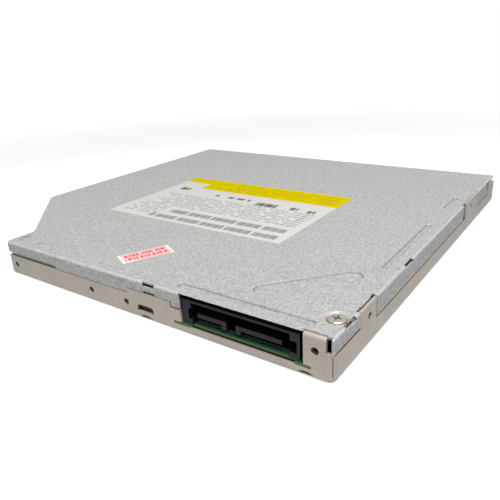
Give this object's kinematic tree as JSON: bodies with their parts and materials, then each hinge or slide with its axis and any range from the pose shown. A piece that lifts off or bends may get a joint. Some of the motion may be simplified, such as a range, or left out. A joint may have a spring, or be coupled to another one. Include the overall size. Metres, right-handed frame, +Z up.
{
  "type": "slim tray-loading optical disc drive",
  "caption": "Slim disc drive for a portable computer: folded case, pressed cover, rear connector, sliding tray with spindle, pickup and lock.",
  "frame": {"origin": "centre of the overall bounding box, at the bottom face", "axes": "+Z up through the cover, -Y the way the tray opens, +Y the rear connector, +X the tray's wide side"},
  "size_m": [0.128, 0.1262, 0.0095],
  "materials": {
    "case_nickel": "satin",
    "cover_zinc": "spangled",
    "steel": "satin",
    "bright_steel": "polished",
    "screw_nickel": "satin",
    "black_plastic": "matte",
    "connector_plastic": "matte",
    "chip_plastic": "matte",
    "board_green": "solder mask",
    "socket_plastic": "matte",
    "flex_film": "film",
    "gold": "plated",
    "ceramic": "matte",
    "bronze": "sintered",
    "laminated_iron": "lacquered",
    "magnet": "matte",
    "rubber": "matte",
    "cast_metal": "cast",
    "black_sheet": "matte",
    "lens_glass": "coated",
    "lamp_plastic": "clear",
    "label_paper": "matte",
    "stripe_yellow": "matte",
    "seal_paper": "matte"
  },
  "bodies": {
    "case": {"board_screws": "screw_nickel", "bottom_case": "case_nickel", "capacitors": "ceramic", "connector_contacts": "gold", "connector_housing": "connector_plastic", "controller_chip": "chip_plastic", "cover_screw": "screw_nickel", "flex_cable": "flex_film", "flex_socket": "socket_plastic", "label_stripe": "stripe_yellow", "left_guide": "black_plastic", "lock_pin": "case_nickel", "main_board": "board_green", "memory_chip": "chip_plastic", "motor_driver_chip": "chip_plastic", "oscillator": "steel", "rating_label": "label_paper", "right_guide": "black_plastic", "seal_sticker": "seal_paper", "top_cover": "cover_zinc"},
    "left_rail": {"left_slide_rail": "steel"},
    "right_rail": {"right_slide_rail": "steel"},
    "tray": {"tray": "black_plastic", "traverse_chassis": "steel", "traverse_dampers": "rubber", "damper_screws": "screw_nickel", "guide_shafts": "bright_steel", "motor_base": "steel", "spindle_bearing": "bronze", "motor_stator": "laminated_iron", "feed_motor": "steel", "traverse_cover": "black_sheet", "front_board": "board_green", "eject_switch_body": "black_plastic", "activity_lamp": "lamp_plastic", "lock_solenoid": "steel", "lever_pin": "steel", "eject_slider": "steel"},
    "turntable": {"turntable_rotor": "steel", "rotor_magnet": "magnet", "spindle_shaft": "bright_steel", "turntable_ring": "rubber"},
    "claw_1": {"clamp_claw_1": "black_plastic"},
    "claw_2": {"clamp_claw_2": "black_plastic"},
    "claw_3": {"clamp_claw_3": "black_plastic"},
    "pickup": {"pickup_sled": "cast_metal", "actuator_yoke": "steel", "screw_follower": "black_plastic"},
    "lens": {"lens_holder": "black_plastic", "objective_lens": "lens_glass"},
    "lead_screw": {"lead_screw": "bright_steel"},
    "lock_lever": {"lock_lever": "black_plastic"},
    "solenoid_plunger": {"solenoid_plunger": "bright_steel"},
    "switch_plunger": {"eject_switch_plunger": "black_plastic"}
  },
  "joints": [
    {"name": "tray_slide", "type": "slide", "parent": "case", "child": "tray", "axis": [0, -1, 0], "range_m": [0, 0.122], "deforming": ["flex_cable"]},
    {"name": "left_rail_slide", "type": "slide", "parent": "case", "child": "left_rail", "axis": [0, -1, 0], "range_m": [0, 0.061]},
    {"name": "right_rail_slide", "type": "slide", "parent": "case", "child": "right_rail", "axis": [0, -1, 0], "range_m": [0, 0.061]},
    {"name": "disc_spin", "type": "hinge", "parent": "tray", "child": "turntable", "pos_m": [0.0015, -0.001, 0.006], "axis": [0, 0, 1], "continuous": true},
    {"name": "pickup_slide", "type": "slide", "parent": "tray", "child": "pickup", "axis": [-0.7071, -0.7071, 0], "range_m": [0, 0.036]},
    {"name": "lens_focus", "type": "slide", "parent": "pickup", "child": "lens", "axis": [0, 0, 1], "range_m": [-0.00025, 0.00025], "stiffness_N_per_m": 60},
    {"name": "lead_screw_turn", "type": "hinge", "parent": "tray", "child": "lead_screw", "pos_m": [-0.01441, 0.01491, 0.0027], "axis": [-0.7071, -0.7071, 0], "continuous": true},
    {"name": "lock_lever_swing", "type": "hinge", "parent": "tray", "child": "lock_lever", "pos_m": [0.0235, -0.0415, 0.0036], "axis": [0, 0, 1], "range_deg": [0, 16]},
    {"name": "solenoid_pull", "type": "slide", "parent": "tray", "child": "solenoid_plunger", "axis": [0, -1, 0], "range_m": [0, 0.00173]},
    {"name": "eject_switch_press", "type": "slide", "parent": "tray", "child": "switch_plunger", "axis": [0, 1, 0], "range_m": [0, 0.0004], "stiffness_N_per_m": 500},
    {"name": "clamp_claw_1_push", "type": "slide", "parent": "turntable", "child": "claw_1", "axis": [0.7071, 0.7071, 0], "range_m": [0, 0.0005], "stiffness_N_per_m": 400},
    {"name": "clamp_claw_2_push", "type": "slide", "parent": "turntable", "child": "claw_2", "axis": [-0.9659, 0.2588, 0], "range_m": [0, 0.0005], "stiffness_N_per_m": 400},
    {"name": "clamp_claw_3_push", "type": "slide", "parent": "turntable", "child": "claw_3", "axis": [0.2588, -0.9659, 0], "range_m": [0, 0.0005], "stiffness_N_per_m": 400}
  ],
  "couplings": [
    {"joint": "left_rail_slide", "follows": "tray_slide", "ratio": 0.5},
    {"joint": "right_rail_slide", "follows": "tray_slide", "ratio": 0.5},
    {"joint": "lead_screw_turn", "follows": "pickup_slide", "rad_per_m": 2094.4},
    {"joint": "lock_lever_swing", "follows": "solenoid_pull", "rad_per_m": 161.29}
  ]
}
